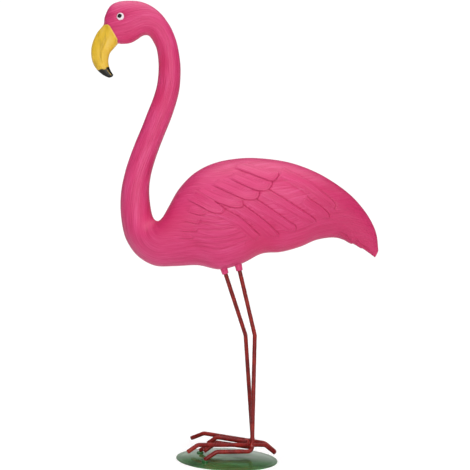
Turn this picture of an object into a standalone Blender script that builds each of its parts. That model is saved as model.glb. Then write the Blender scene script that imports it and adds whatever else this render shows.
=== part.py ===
"""Pink plastic flamingo lawn ornament on two bent steel rod legs and a domed green base disc.

Metres, +Z up. The bird looks towards -X and its left side is at -Y. The origin is on the ground, under
the middle of the bird's length.
"""

import math

import bmesh
import bpy
import numpy as np
from mathutils import Vector

MM = 0.001

# Driving sizes of the bird
BIRD_LENGTH = 565 * MM
DRAWN_UNITS = 565
HIP_HEIGHT = 355 * MM
BIRD_SCALE = BIRD_LENGTH / DRAWN_UNITS
BIRD_RINGS = 470
BIRD_SIDES = 168
BIRD_TRIANGLES = 6500

# Driving sizes of the steel rods
ROD_DIAMETER = 8 * MM
ROD_RADIUS = ROD_DIAMETER / 2
TOUCH_GAP = 0.3 * MM
KNEE_BEND_RADIUS = 22 * MM
ANKLE_BEND_RADIUS = 9 * MM
TOE_BEND_RADIUS = 14 * MM
BEND_STEPS = 4

# Driving sizes of the leg sockets
SOCKET_WALL = 2 * MM
SOCKET_FLARE = 2 * MM
SOCKET_LENGTH = 34 * MM
SOCKET_BORE_DEPTH = 25 * MM
SOCKET_SIDES = 20

# Driving sizes of the base disc
DISC_DIAMETER = 194 * MM
DISC_RADIUS = DISC_DIAMETER / 2
DISC_SHEET = 1.5 * MM
DISC_RISE = 3.5 * MM
DISC_RIM_WIDTH = 7 * MM
DISC_X = 10 * MM
DISC_STEPS = 48
DISC_RINGS = 6

# Height of the feet's welds above the ground
WELD_HEIGHT = 35 * MM

# Legs and feet: the left ones are at -Y. Places along X, across Y outwards, and up, in millimetres.
# Hips are places of the bird's side view, and inner toes are measured up from where they start.
LEGS = {
    "left": {
        "sign": -1,
        "hip": (19.0, 7.0),
        "knee": (53.2, 8.5, 240.5),
        "ankle": (56.8, 26.0, 22.5),
        "toe_bend": (-10.0, 41.0, 22.0),
        "toe_tip": (-32.0, 49.0),
        "long_bend": (-45.5, 35.5),
        "long_tip": (-63.5, 60.0, 23.5),
        "inner_bend": (-17.0, 20.0, -0.3),
        "inner_tip": (-34.0, 22.0, -13.3),
    },
    "right": {
        "sign": 1,
        "hip": (-7.7, 0.0),
        "knee": (35.7, 8.5, 238.5),
        "ankle": (60.0, 26.0, 19.0),
        "toe_bend": (-17.0, 32.0, 25.5),
        "toe_tip": (-43.5, 30.0),
        "long_bend": (-37.0, 38.5),
        "long_tip": (-62.0, 60.0, 25.5),
        "inner_bend": (-11.5, 19.0, 5.7),
        "inner_tip": (-28.5, 18.0, -7.3),
    },
}
LONG_TOE_SPLAY = 18.5
BACK_BEND = (81.5, 32.5)
BACK_TIP = (102.0, 17.0)
BACK_TIPS_CLEARANCE = 1.2 * MM
INNER_TOE_START_X = 48.0
INNER_TOE_DROP = 2.0

# Bird in side view: rings from the beak's tip to the tail, in a drawing DRAWN_UNITS units long.
# Each ring: top or back point (x, z), underside or front point (x, z), half width across the bird.
# x is from the middle of the length, z from the leg sockets' mouths.
BEAK_RINGS = [
    ((-241.0, 367.5), (-238.5, 371.5), 2.0),
    ((-248.0, 366.0), (-242.5, 377.0), 4.0),
    ((-260.5, 371.8), (-246.5, 384.5), 6.5),
    ((-272.8, 382.8), (-249.0, 394.5), 9.0),
    ((-280.0, 396.0), (-249.0, 404.0), 11.0),
    ((-283.0, 413.0), (-246.5, 413.5), 12.5),
    ((-281.0, 431.0), (-240.5, 421.5), 14.0),
    ((-273.0, 450.5), (-235.5, 428.0), 15.5),
]
HEAD_RINGS = [
    ((-261.5, 466.0), (-232.0, 432.0), 18.5),
    ((-259.5, 482.0), (-226.0, 431.5), 21.0),
    ((-250.5, 502.0), (-215.0, 432.5), 23.5),
    ((-235.0, 511.5), (-207.5, 434.5), 24.5),
    ((-213.0, 514.5), (-201.0, 438.0), 25.0),
    ((-192.0, 513.5), (-194.5, 442.5), 24.5),
    ((-172.0, 506.5), (-188.5, 447.5), 23.5),
    ((-153.5, 493.5), (-181.0, 450.5), 22.0),
    ((-140.0, 478.0), (-173.5, 449.0), 21.0),
]
NECK_RINGS = [
    ((-129.5, 461.5), (-166.5, 441.0), 20.0),
    ((-119.0, 436.0), (-158.0, 424.5), 19.5),
    ((-112.0, 403.5), (-153.5, 401.5), 19.5),
    ((-110.0, 379.0), (-152.5, 379.0), 19.5),
    ((-111.0, 349.0), (-154.5, 354.0), 19.5),
    ((-116.5, 321.0), (-161.0, 328.0), 19.5),
    ((-125.5, 290.0), (-170.0, 302.5), 20.0),
    ((-135.5, 262.0), (-179.5, 274.5), 20.5),
    ((-145.5, 233.0), (-190.0, 246.5), 21.0),
    ((-154.0, 203.5), (-200.5, 215.0), 22.0),
    ((-159.0, 179.5), (-208.0, 187.0), 23.5),
    ((-160.5, 152.5), (-213.8, 152.0), 26.0),
]
BODY_RINGS = [
    ((-156.5, 121.0), (-213.8, 115.5), 30.0),
    ((-150.0, 100.5), (-207.5, 77.5), 36.0),
    ((-140.0, 96.0), (-196.5, 50.5), 43.0),
    ((-129.5, 106.0), (-175.0, 25.3), 51.0),
    ((-120.0, 126.5), (-143.0, 9.8), 59.0),
    ((-103.0, 159.0), (-105.0, 10.5), 66.0),
    ((-75.0, 190.0), (-61.0, 14.0), 71.0),
    ((-36.0, 211.5), (-18.0, 8.0), 73.5),
    ((15.0, 222.5), (23.0, 21.0), 73.0),
    ((64.0, 223.0), (60.0, 41.3), 69.5),
    ((110.0, 217.0), (97.0, 46.3), 63.0),
    ((155.0, 202.5), (133.0, 57.8), 54.0),
    ((193.0, 183.0), (164.5, 72.5), 44.0),
    ((226.0, 160.0), (199.5, 78.0), 33.5),
    ((251.0, 134.5), (228.5, 69.5), 24.0),
    ((268.5, 109.5), (248.5, 61.5), 16.0),
    ((278.5, 86.0), (263.5, 52.5), 10.0),
    ((283.0, 57.0), (277.0, 43.5), 4.5),
]
WING_WIDENING = 0.22

# Raised edge of the beak against the head in side view, from over the forehead to under the chin
BEAK_EDGE = [(-285.0, 467.5), (-260.5, 466.5), (-250.0, 465.5), (-246.0, 461.0), (-233.0, 439.5), (-232.5, 420.0)]
BEAK_STEP = 1.6
BEAK_STEP_BLEND = 1.6
BEAK_STEP_FADE = 9.0

# Feathers carved in the sides, in side view. Each line is the edge of one feather, with the feather on the
# right of the line's run, and each feather lies over the ones before it.
LONG_FEATHERS = [
    [(90, 205), (112, 195), (139, 182), (160, 168), (181, 152), (191, 143), (193, 137), (190, 128)],
    [(136, 154), (148, 145), (164, 136), (177, 126), (183, 117), (182, 109)],
    [(56, 167), (97, 145), (127, 128), (148, 116), (156, 110), (159, 103)],
    [(34, 149), (80, 121), (111, 102), (119, 97), (120, 84)],
    [(12, 137), (25, 128), (58, 106), (86, 83), (89, 79), (88, 73)],
    [(-26, 128), (-16, 123), (18, 106), (43, 85), (57, 74)],
]
COVERTS = [
    [(18, 140), (20, 130), (15, 126), (0, 126), (-15, 130), (-42, 139), (-76, 157)],
    [(49, 159), (48, 149), (43, 143), (30, 141), (15, 144), (-15, 156), (-48, 169)],
    [(72, 178), (71, 170), (66, 162), (57, 159), (41, 160), (12, 171), (-16, 183)],
    [(84, 196), (83, 188), (77, 180), (69, 178), (52, 183), (12, 196), (-8, 201)],
]
SHOULDER_FEATHERS = [
    [(-47, 122), (-46, 115), (-51, 110), (-60, 109), (-74, 112), (-90, 116)],
    [(-76, 158), (-45, 142), (-23, 129), (-15, 122), (-20, 114), (-37, 115), (-60, 126), (-90, 140)],
]
SHOULDER_SCALES = [
    [(-69, 69), (-71, 65), (-76, 64), (-100, 64)],
    [(-62, 84), (-64, 79), (-70, 78), (-100, 77)],
    [(-57, 101), (-60, 94), (-66, 92), (-77, 95), (-94, 97)],
]
TAIL_FEATHERS = [
    [(200, 93), (213, 85), (224, 77), (232, 71)],
    [(234, 81), (245, 70), (253, 64), (266, 54)],
]
# Shallow lines: some run back under the wing and meet, and three lie between the upper feathers
FAN_LINES = [
    [(-62, 109), (-43, 107), (-25, 105), (6, 102), (24, 97)],
    [(-60, 97), (-43, 96), (-21, 92), (8, 92), (27, 91), (42, 84), (55, 75)],
    [(-68, 83), (-39, 83), (-10, 86), (12, 88), (30, 85), (49, 77)],
    [(-75, 67), (-42, 68), (-23, 69), (4, 75), (20, 81), (36, 86)],
    [(-75, 57), (-42, 57), (-22, 58), (5, 65), (22, 70), (38, 75), (52, 76)],
    [(-76, 51), (-57, 51), (-38, 48), (-20, 47), (5, 55), (20, 62), (45, 70), (57, 74)],
    [(31, 71), (25, 52)],
    [(84, 185), (103, 176), (118, 168), (138, 158)],
    [(28, 197), (50, 191), (69, 186)],
    [(190, 144), (198, 154)],
]

# How far a feather's rise reaches from its edge, and how its edge fades in and out along the line
FEATHER_REACH = 26.0
SCALE_REACH = 13.0
LONG_EASE = (4.0, 7.0)
COVERT_EASE = (3.0, 26.0)
SHOULDER_EASE = (16.0, 24.0)
SCALE_EASE = (2.0, 14.0)
TAIL_EASE = (12.0, 2.0)
FAN_EASE = (12.0, 10.0)
FULL_REACH_SHARE = 0.3
RISE_CURVE = 1.5
LINE_SAMPLES = 4
FEATHER_LIFT = 1.9
COVERT_LIFT = 2.1
SCALE_LIFT = 1.4
TAIL_LIFT = 0.8
EDGE_BLEND = 2.4
GROOVE_DEPTH = 1.1
GROOVE_WIDTH = 2.2
GROOVE_OFFSET = 1.2
FAN_DEPTH = 1.1
FAN_WIDTH = 2.8

# Ends of the tail's feathers, as small bumps along its lower edge
TAIL_BUMP_ENDS = (230.5, 249.5)
TAIL_BUMP_RUN = 15.0
TAIL_BUMP_BLEND = (2.0, 2.5)
TAIL_BUMP_DROP = 1.5

PINK = (0.70, 0.07, 0.21, 1.0)
BEAK_YELLOW = (0.80, 0.50, 0.05, 1.0)
BEAK_BLACK = (0.02, 0.018, 0.018, 1.0)
LEG_RED = (0.30, 0.03, 0.03, 1.0)
BASE_GREEN = (0.05, 0.21, 0.07, 1.0)
BLACK_TIP_CORNER = (-268.0, 379.5)
BLACK_TIP_RISE = 0.30


def clear_scene():
    for old in list(bpy.data.objects):
        bpy.data.objects.remove(old, do_unlink=True)


def new_collection(name):
    collection = bpy.data.collections.new(name)
    bpy.context.scene.collection.children.link(collection)
    return collection


def paint(name, colour, roughness, metallic=0.0):
    material = bpy.data.materials.new(name)
    material.use_nodes = True
    shader = material.node_tree.nodes["Principled BSDF"]
    shader.inputs["Base Color"].default_value = colour
    shader.inputs["Roughness"].default_value = roughness
    shader.inputs["Metallic"].default_value = metallic
    return material


def smoothstep(low, high, value):
    t = np.clip((value - low) / (high - low), 0.0, 1.0)
    return t * t * (3 - 2 * t)


def spline_through(points, samples):
    """Smooth curve through the points, with the points at whole numbers of the parameter."""
    points = np.asarray(points, float)
    last = len(points) - 1
    at = np.linspace(0, last, samples)
    index = np.minimum(at.astype(int), last - 1)
    t = (at - index)[:, None]
    padded = np.vstack([2 * points[0] - points[1], points, 2 * points[-1] - points[-2]])
    a, b, c, d = (padded[index + k] for k in range(4))
    bend = 2 * a - 5 * b + 4 * c - d
    twist = 3 * b - a - 3 * c + d
    return 0.5 * (2 * b + (c - a) * t + bend * t**2 + twist * t**3)


def bird_rings():
    """Rings of points along the bird, in the drawing's units, as an array (ring, side, xyz)."""
    drawn = BEAK_RINGS + HEAD_RINGS + NECK_RINGS + BODY_RINGS
    table = [(*back, *front, width) for back, front, width in drawn]
    smooth = spline_through(table, BIRD_RINGS)
    back, front, width = smooth[:, 0:2], smooth[:, 2:4], smooth[:, 4]
    place = np.linspace(0, len(drawn) - 1, BIRD_RINGS)
    across = back - front
    height = np.linalg.norm(across, axis=1)
    across /= height[:, None]
    middle = (back + front) / 2
    body_start = len(drawn) - len(BODY_RINGS)
    on_body = smoothstep(body_start + 1, body_start + 6, place)
    on_tail = smoothstep(len(drawn) - 6, len(drawn) - 2, place)
    widening = WING_WIDENING * on_body * (1 - on_tail)
    angle = np.linspace(0, 2 * math.pi, BIRD_SIDES, endpoint=False)
    upward = -np.cos(angle)[None, :]
    along = upward * (height / 2)[:, None]
    side = np.sin(angle)[None, :] * width[:, None] * (1 + widening[:, None] * upward)
    ring = np.empty((BIRD_RINGS, BIRD_SIDES, 3))
    ring[..., 0] = middle[:, None, 0] + along * across[:, None, 0]
    ring[..., 1] = side
    ring[..., 2] = middle[:, None, 1] + along * across[:, None, 1]
    return ring


def line_distance(x, z, line):
    """Distance to a line in side view, above zero on the right of its run, and the length run along it."""
    nearest = np.full(np.shape(x), np.inf)
    side = np.ones(np.shape(x))
    travel = np.zeros(np.shape(x))
    run = 0.0
    for (x1, z1), (x2, z2) in zip(line, line[1:]):
        run_x, run_z = x2 - x1, z2 - z1
        length = math.hypot(run_x, run_z)
        share = ((x - x1) * run_x + (z - z1) * run_z) / length**2
        share = np.clip(share, 0, 1)
        distance = np.hypot(x - x1 - share * run_x, z - z1 - share * run_z)
        turn = run_z * (x - x1) - run_x * (z - z1)
        closer = distance < nearest
        side = np.where(closer, np.sign(turn), side)
        travel = np.where(closer, run + share * length, travel)
        nearest = np.where(closer, distance, nearest)
        run += length
    return nearest * side, travel


def edge_places(x, z, points, ease):
    """Signed distance to the smooth line through the points, and the line's share of full strength."""
    line = spline_through(points, (len(points) - 1) * LINE_SAMPLES + 1)
    distance, travel = line_distance(x, z, line)
    length = sum(math.dist(before, after) for before, after in zip(line, line[1:]))
    eased = smoothstep(0, ease[0], travel) * smoothstep(0, ease[1], length - travel)
    return distance, eased


def lay_feathers(relief, x, z, edges, lift, reach, ease):
    """Feathers laid over the relief so far, each over the one before, with a groove along its edge."""
    for edge in edges:
        inward, eased = edge_places(x, z, edge, ease)
        cover = smoothstep(-EDGE_BLEND / 2, EDGE_BLEND / 2, inward) * eased
        cover = cover * smoothstep(reach, FULL_REACH_SHARE * reach, inward)
        rise = lift * np.clip(1 - inward / reach, 0, 1) ** RISE_CURVE
        relief = relief * (1 - cover) + rise * cover
        groove = np.exp(-(((inward + GROOVE_OFFSET) / GROOVE_WIDTH) ** 2)) * eased
        relief = relief - GROOVE_DEPTH * groove
    return relief


def fan_grooves(x, z):
    """Shallow grooves that run back under the wing and meet."""
    cut = np.zeros_like(x)
    for points in FAN_LINES:
        distance, eased = edge_places(x, z, points, FAN_EASE)
        cut = np.maximum(cut, np.exp(-((distance / FAN_WIDTH) ** 2)) * eased)
    return -FAN_DEPTH * cut


def beak_side(x, z):
    """Signed distance to the edge between beak and head, above zero on the beak."""
    return line_distance(x, z, BEAK_EDGE)[0]


def beak_step(x, z):
    """The beak stands a little proud of the head along its edge."""
    inside = beak_side(x, z)
    step = smoothstep(-BEAK_STEP_BLEND, BEAK_STEP_BLEND, inside) - 0.5
    return BEAK_STEP * step * np.exp(-np.abs(inside) / BEAK_STEP_FADE)


def tail_bumps(x, downward):
    """How far the tail's lower edge hangs at its feathers' ends."""
    drop = np.zeros_like(x)
    before, after = TAIL_BUMP_BLEND
    for end in TAIL_BUMP_ENDS:
        rise = smoothstep(end - TAIL_BUMP_RUN, end - before, x)
        drop = np.maximum(drop, rise * smoothstep(end + after, end, x))
    return TAIL_BUMP_DROP * drop * smoothstep(0.2, 0.7, downward)


def carving(x, z):
    """Height of the carving over the plain form, in the drawing's units, from the side view place."""
    relief = fan_grooves(x, z) + beak_step(x, z)
    relief = lay_feathers(relief, x, z, SHOULDER_SCALES, SCALE_LIFT, SCALE_REACH, SCALE_EASE)
    relief = lay_feathers(relief, x, z, LONG_FEATHERS, FEATHER_LIFT, FEATHER_REACH, LONG_EASE)
    relief = lay_feathers(relief, x, z, COVERTS, COVERT_LIFT, FEATHER_REACH, COVERT_EASE)
    relief = lay_feathers(relief, x, z, SHOULDER_FEATHERS, COVERT_LIFT, FEATHER_REACH, SHOULDER_EASE)
    return lay_feathers(relief, x, z, TAIL_FEATHERS, TAIL_LIFT, SCALE_REACH, TAIL_EASE)


def carved(ring):
    """The rings with the carving raised along their outward normals, deepest where they face sideways."""
    along = np.gradient(ring, axis=0)
    around = (np.roll(ring, -1, axis=1) - np.roll(ring, 1, axis=1)) / 2
    normal = np.cross(around, along)
    normal /= np.linalg.norm(normal, axis=2, keepdims=True) + 1e-9
    outward = np.sign((normal[..., 1] * np.sign(ring[..., 1])).sum())
    normal *= outward
    facing = smoothstep(0.10, 0.45, np.abs(normal[..., 1]))
    relief = carving(ring[..., 0], ring[..., 2]) * facing
    shaped = ring + normal * relief[..., None]
    shaped[..., 2] -= tail_bumps(ring[..., 0], -normal[..., 2])
    return shaped


def loft(name, rings, collection):
    """Closed skin over rings of equal count, with each end drawn to its middle."""
    count, sides = rings.shape[:2]
    points = [tuple(p) for p in rings.reshape(-1, 3)]
    points.append(tuple(rings[0].mean(axis=0)))
    points.append(tuple(rings[-1].mean(axis=0)))
    first, last = len(points) - 2, len(points) - 1
    faces = []
    for r in range(count - 1):
        for s in range(sides):
            t = (s + 1) % sides
            faces.append((r * sides + s, r * sides + t, (r + 1) * sides + t, (r + 1) * sides + s))
    top = (count - 1) * sides
    for s in range(sides):
        t = (s + 1) % sides
        faces.append((first, t, s))
        faces.append((last, top + s, top + t))
    mesh = bpy.data.meshes.new(name)
    mesh.from_pydata(points, [], faces)
    shape = bmesh.new()
    shape.from_mesh(mesh)
    bmesh.ops.recalc_face_normals(shape, faces=shape.faces)
    shape.to_mesh(mesh)
    shape.free()
    made = bpy.data.objects.new(name, mesh)
    collection.objects.link(made)
    return made


def bird_point(x, z):
    """World place, on the middle plane, of a point of the bird's side view."""
    return Vector((x * BIRD_SCALE, 0.0, HIP_HEIGHT + z * BIRD_SCALE))


def side_of(y_sign, x, y, z):
    return Vector((x * MM, y_sign * y * MM, z * MM))


def disc_top(radius):
    """Height of the disc's upper face at a distance from its middle."""
    dome_radius = DISC_RADIUS - DISC_RIM_WIDTH
    share = min(radius / dome_radius, 1.0)
    return DISC_SHEET + DISC_RISE * (1 - share**3)


def rounded_path(corners, radii):
    """Points along straight runs with a round bend at each inner corner."""
    path = [corners[0]]
    for before, corner, after, radius in zip(corners, corners[1:], corners[2:], radii):
        arriving = (corner - before).normalized()
        leaving = (after - corner).normalized()
        turn = arriving.angle(leaving)
        inset = radius * math.tan(turn / 2)
        inward = (leaving - arriving).normalized()
        centre = corner + inward * (radius / math.cos(turn / 2))
        start = corner - arriving * inset - centre
        end = corner + leaving * inset - centre
        for k in range(BEND_STEPS + 1):
            swept = turn * k / BEND_STEPS
            spoke = (start * math.sin(turn - swept) + end * math.sin(swept)) / math.sin(turn)
            path.append(centre + spoke)
    path.append(corners[-1])
    return path


def rod(name, path, material, collection):
    curve = bpy.data.curves.new(name, "CURVE")
    curve.dimensions = "3D"
    curve.bevel_depth = ROD_RADIUS
    curve.bevel_resolution = 3
    curve.use_fill_caps = True
    spline = curve.splines.new("POLY")
    spline.points.add(len(path) - 1)
    for point, place in zip(spline.points, path):
        point.co = (*place, 1.0)
    made = bpy.data.objects.new(name, curve)
    curve.materials.append(material)
    collection.objects.link(made)
    return made


def leg_corners(leg):
    """Hip socket mouth, knee, ankle, toe bend and toe tip of one leg's rod."""
    sign = leg["sign"]
    hip = bird_point(*leg["hip"])
    knee = side_of(sign, *leg["knee"])
    ankle = side_of(sign, *leg["ankle"])
    toe_bend = side_of(sign, *leg["toe_bend"])
    toe_tip = side_of(sign, *leg["toe_tip"], 0)
    resting = disc_top(math.hypot(toe_tip.x - DISC_X, toe_tip.y)) + TOUCH_GAP * 1.5
    for _ in range(4):
        run = (toe_tip - toe_bend).normalized()
        toe_tip.z = resting + ROD_RADIUS * math.sqrt(1 - run.z**2)
    return hip, knee, ankle, toe_bend, toe_tip


def leg_direction(leg):
    hip, knee = leg_corners(leg)[:2]
    return (knee - hip).normalized()


def add_leg(side, leg, material, collection):
    """One rod: up into its socket, down to the knee and the ankle, and forward into a toe."""
    hip, knee, ankle, toe_bend, toe_tip = leg_corners(leg)
    top = hip - leg_direction(leg) * (SOCKET_BORE_DEPTH - TOUCH_GAP)
    bends = [KNEE_BEND_RADIUS, ANKLE_BEND_RADIUS, TOE_BEND_RADIUS]
    rod(f"{side}_leg", rounded_path([top, knee, ankle, toe_bend, toe_tip], bends), material, collection)


def leg_at_height(leg, height):
    _, knee, ankle, _, _ = leg_corners(leg)
    return ankle.lerp(knee, (height - ankle.z) / (knee.z - ankle.z))


def long_toe_line(leg):
    """Point beside the leg that the long toe rod runs through, and its forward direction."""
    sign = leg["sign"]
    splay = math.radians(LONG_TOE_SPLAY)
    forward = Vector((-math.cos(splay), sign * math.sin(splay), 0.0))
    inward = Vector((-math.sin(splay), -sign * math.cos(splay), 0.0))
    beside = leg_at_height(leg, WELD_HEIGHT) + inward * (ROD_DIAMETER + TOUCH_GAP)
    return beside, forward


def point_on_line_at_x(beside, forward, x, height=WELD_HEIGHT):
    point = beside + forward * ((x - beside.x) / forward.x)
    point.z = height
    return point


def long_toe_bends(leg):
    """Corners of the long toe rod in front and behind."""
    beside, forward = long_toe_line(leg)
    front_x, front_height = leg["long_bend"]
    back_x, back_height = BACK_BEND
    front_bend = point_on_line_at_x(beside, forward, front_x * MM, front_height * MM)
    back_bend = point_on_line_at_x(beside, forward, back_x * MM, back_height * MM)
    return front_bend, back_bend


def inner_toe_corners(leg):
    """Start against the long toe rod and a little below it, bend and tip."""
    sign = leg["sign"]
    front_bend, back_bend = long_toe_bends(leg)
    along = (INNER_TOE_START_X * MM - front_bend.x) / (back_bend.x - front_bend.x)
    drop = INNER_TOE_DROP * MM
    splay = math.radians(LONG_TOE_SPLAY)
    beside = math.sqrt((ROD_DIAMETER + TOUCH_GAP) ** 2 - drop**2) / math.cos(splay)
    start = front_bend.lerp(back_bend, along) - Vector((0.0, sign * beside, drop))
    level = Vector((0.0, 0.0, start.z))
    return start, side_of(sign, *leg["inner_bend"]) + level, side_of(sign, *leg["inner_tip"]) + level


def add_long_toe(side, leg, material, collection):
    """One straight rod with both ends bent down: the middle toe in front and the back toe behind."""
    sign = leg["sign"]
    front_bend, back_bend = long_toe_bends(leg)
    back_tip = Vector((BACK_TIP[0] * MM, sign * (ROD_DIAMETER + BACK_TIPS_CLEARANCE) / 2, BACK_TIP[1] * MM))
    corners = [side_of(sign, *leg["long_tip"]), front_bend, back_bend, back_tip]
    path = rounded_path(corners, [TOE_BEND_RADIUS, TOE_BEND_RADIUS])
    rod(f"{side}_middle_and_back_toe", path, material, collection)


def add_inner_toe(side, leg, material, collection):
    """A short rod that starts against the long toe rod and runs forward."""
    path = rounded_path(inner_toe_corners(leg), [TOE_BEND_RADIUS])
    rod(f"{side}_inner_toe", path, material, collection)


def cone_along(name, start, direction, length, start_radius, end_radius, collection):
    """A hidden helper cone, from a point along a direction."""
    shape = bmesh.new()
    bmesh.ops.create_cone(
        shape,
        cap_ends=True,
        segments=SOCKET_SIDES,
        radius1=start_radius,
        radius2=end_radius,
        depth=length,
    )
    mesh = bpy.data.meshes.new(name)
    shape.to_mesh(mesh)
    shape.free()
    made = bpy.data.objects.new(name, mesh)
    made.location = start + direction * (length / 2)
    made.rotation_mode = "QUATERNION"
    made.rotation_quaternion = direction.to_track_quat("Z", "Y")
    made.hide_render = True
    made.display_type = "WIRE"
    collection.objects.link(made)
    return made


def boolean(target, helper, operation):
    modifier = target.modifiers.new(f"{operation.lower()} {helper.name}", "BOOLEAN")
    modifier.operation = operation
    modifier.solver = "EXACT"
    modifier.object = helper


def colour_bird(bird):
    """Yellow beak with a black tip, by face, on the pink bird."""
    bird.data.materials.append(paint("pink plastic", PINK, 0.45))
    bird.data.materials.append(paint("yellow beak paint", BEAK_YELLOW, 0.4))
    bird.data.materials.append(paint("black beak paint", BEAK_BLACK, 0.35))
    drawn = len(BEAK_RINGS + HEAD_RINGS + NECK_RINGS + BODY_RINGS)
    head_end = BIRD_RINGS * len(BEAK_RINGS + HEAD_RINGS) // drawn
    for face in bird.data.polygons[: head_end * BIRD_SIDES]:
        x = face.center.x / BIRD_SCALE
        z = (face.center.z - HIP_HEIGHT) / BIRD_SCALE
        black_top = BLACK_TIP_CORNER[1] + BLACK_TIP_RISE * (x - BLACK_TIP_CORNER[0])
        if beak_side(x, z) > 0:
            face.material_index = 2 if z < black_top else 1


def add_bird(collection, cutters):
    """Blow-moulded bird in one piece, with a socket under its belly for each leg."""
    rings = carved(bird_rings()) * BIRD_SCALE
    rings[..., 2] += HIP_HEIGHT
    bird = loft("bird", rings, collection)
    colour_bird(bird)
    bird.data.shade_smooth()
    lighter = bird.modifiers.new("fewer faces", "DECIMATE")
    lighter.ratio = BIRD_TRIANGLES / (2 * BIRD_RINGS * BIRD_SIDES)
    lighter.use_symmetry = True
    lighter.symmetry_axis = "Y"
    bore_radius = ROD_RADIUS + TOUCH_GAP
    for side, leg in LEGS.items():
        mouth = leg_corners(leg)[0]
        upward = -leg_direction(leg)
        outer = bore_radius + SOCKET_WALL
        stub = cone_along(
            f"{side}_socket", mouth, upward, SOCKET_LENGTH, outer, outer + SOCKET_FLARE, cutters
        )
        boolean(bird, stub, "UNION")
        below = mouth - upward * SOCKET_WALL
        depth = SOCKET_BORE_DEPTH + SOCKET_WALL
        bore = cone_along(f"{side}_socket_bore", below, upward, depth, bore_radius, bore_radius, cutters)
        boolean(bird, bore, "DIFFERENCE")


def disc_profile():
    """Half section of the domed sheet, from the middle of its top round the rim to the middle below."""
    dome_radius = DISC_RADIUS - DISC_RIM_WIDTH
    radii = [dome_radius * k / DISC_RINGS for k in range(DISC_RINGS + 1)]
    edge = DISC_SHEET / 4
    top = [(r, disc_top(r)) for r in radii]
    rim = [
        (DISC_RADIUS - edge, DISC_SHEET),
        (DISC_RADIUS, DISC_SHEET - edge),
        (DISC_RADIUS, edge),
        (DISC_RADIUS - edge, 0.0),
    ]
    bottom = [(r, disc_top(r) - DISC_SHEET) for r in reversed(radii)]
    return top + rim + bottom


def add_disc(collection):
    """Shallow domed sheet steel disc that stands on its rim."""
    profile = disc_profile()
    mesh = bpy.data.meshes.new("base_disc")
    mesh.from_pydata([(r, 0.0, z) for r, z in profile], [(k, k + 1) for k in range(len(profile) - 1)], [])
    disc = bpy.data.objects.new("base_disc", mesh)
    disc.location.x = DISC_X
    mesh.materials.append(paint("green gloss paint", BASE_GREEN, 0.18))
    turn = disc.modifiers.new("turned", "SCREW")
    turn.axis = "Z"
    turn.steps = DISC_STEPS
    turn.render_steps = DISC_STEPS
    turn.use_merge_vertices = True
    turn.merge_threshold = 0.00001
    turn.use_smooth_shade = True
    collection.objects.link(disc)


def main():
    clear_scene()
    ornament = new_collection("flamingo lawn ornament")
    cutters = new_collection("cutters")
    red = paint("red leg paint", LEG_RED, 0.3)
    add_bird(ornament, cutters)
    for side, leg in LEGS.items():
        add_leg(side, leg, red, ornament)
        add_long_toe(side, leg, red, ornament)
        add_inner_toe(side, leg, red, ornament)
    add_disc(ornament)


main()
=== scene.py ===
"""Looks of the pink plastic flamingo lawn ornament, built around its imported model.

Metres, +Z up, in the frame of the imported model: the bird looks towards -X and its left side is at -Y.
"""

from math import cos, dist, hypot, pi, radians, sin, sqrt, tan

import bmesh
import bpy
import numpy as np
from mathutils import Matrix, Vector, kdtree


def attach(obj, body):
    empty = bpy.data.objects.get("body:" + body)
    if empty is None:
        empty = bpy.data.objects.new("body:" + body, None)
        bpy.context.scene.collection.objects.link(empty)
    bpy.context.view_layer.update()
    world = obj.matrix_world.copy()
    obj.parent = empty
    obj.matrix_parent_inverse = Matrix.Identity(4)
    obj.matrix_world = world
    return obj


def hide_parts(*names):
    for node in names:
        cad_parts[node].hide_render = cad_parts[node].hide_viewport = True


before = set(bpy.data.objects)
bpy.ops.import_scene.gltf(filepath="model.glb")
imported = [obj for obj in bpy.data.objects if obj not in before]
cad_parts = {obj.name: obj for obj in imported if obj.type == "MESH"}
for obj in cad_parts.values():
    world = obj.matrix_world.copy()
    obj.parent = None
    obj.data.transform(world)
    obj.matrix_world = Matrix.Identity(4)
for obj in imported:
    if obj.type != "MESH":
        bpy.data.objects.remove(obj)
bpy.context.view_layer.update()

MM = 0.001
BODY = "root"

# Camera: level, square to the ornament's left side, turned a little about its own axis
CAMERA_PLACE = (0.0073, -1.95, 0.43)
CAMERA_ROLL = radians(2.44)
CAMERA_LENS = 77.96
CAMERA_SENSOR = 36
CAMERA_CLIP = (0.05, 100)

# Sizes shared with the solids
BIRD_LENGTH = 565 * MM
DRAWN_UNITS = 565
HIP_HEIGHT = 355 * MM
BIRD_SCALE = BIRD_LENGTH / DRAWN_UNITS
ROD_DIAMETER = 8 * MM
ROD_RADIUS = ROD_DIAMETER / 2
TOUCH_GAP = 0.3 * MM
TOE_TIP_GAP = 1.5 * TOUCH_GAP
KNEE_BEND_RADIUS = 22 * MM
ANKLE_BEND_RADIUS = 9 * MM
TOE_BEND_RADIUS = 14 * MM
SOCKET_WALL = 2 * MM
SOCKET_FLARE = 2 * MM
SOCKET_LENGTH = 34 * MM
SOCKET_BORE_DEPTH = 25 * MM
DISC_RADIUS = 97 * MM
DISC_SHEET = 1.5 * MM
DISC_RISE = 3.5 * MM
DISC_RIM_WIDTH = 7 * MM
DOME_RADIUS = DISC_RADIUS - DISC_RIM_WIDTH
DISC_X = 10 * MM
WELD_HEIGHT = 35 * MM

# Fineness of the meshes
BIRD_RINGS = 860
BIRD_SIDES = 380
BIRD_TRIANGLES = 188000
SIDE_CROWDING = 0.24
ROD_SIDES = 28
BEND_STEPS = 12
SOCKET_SIDES = 48
DISC_STEPS = 180
DISC_RINGS = 34
RIM_STEPS = 12
ROD_SPACING = 6 * MM

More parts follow.
